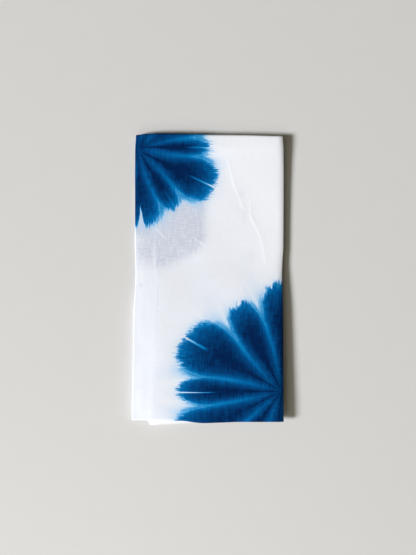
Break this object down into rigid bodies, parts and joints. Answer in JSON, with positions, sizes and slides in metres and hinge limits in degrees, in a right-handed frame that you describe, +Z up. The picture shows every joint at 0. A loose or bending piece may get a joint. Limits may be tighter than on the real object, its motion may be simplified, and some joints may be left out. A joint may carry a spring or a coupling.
{
  "type": "folded tenugui hand towel",
  "caption": "Thin plain-woven cotton hand towel, folded in three across its width and then in half and in half again, lying flat with its last folds springing open a little.",
  "frame": {"origin": "on the surface that the towel lies on, under the middle of its outline", "axes": "+Y along the folded towel towards the fold that wraps all four layers, +X across it towards the full fold, away from the selvedge that stops short, +Z up"},
  "size_m": [0.1182, 0.228, 0.009],
  "materials": {
    "dyed_cotton": "matt plain-woven cotton, white with indigo dyed flowers"
  },
  "bodies": {
    "root": {"tenugui_cloth": "dyed_cotton"}
  },
  "joints": []
}
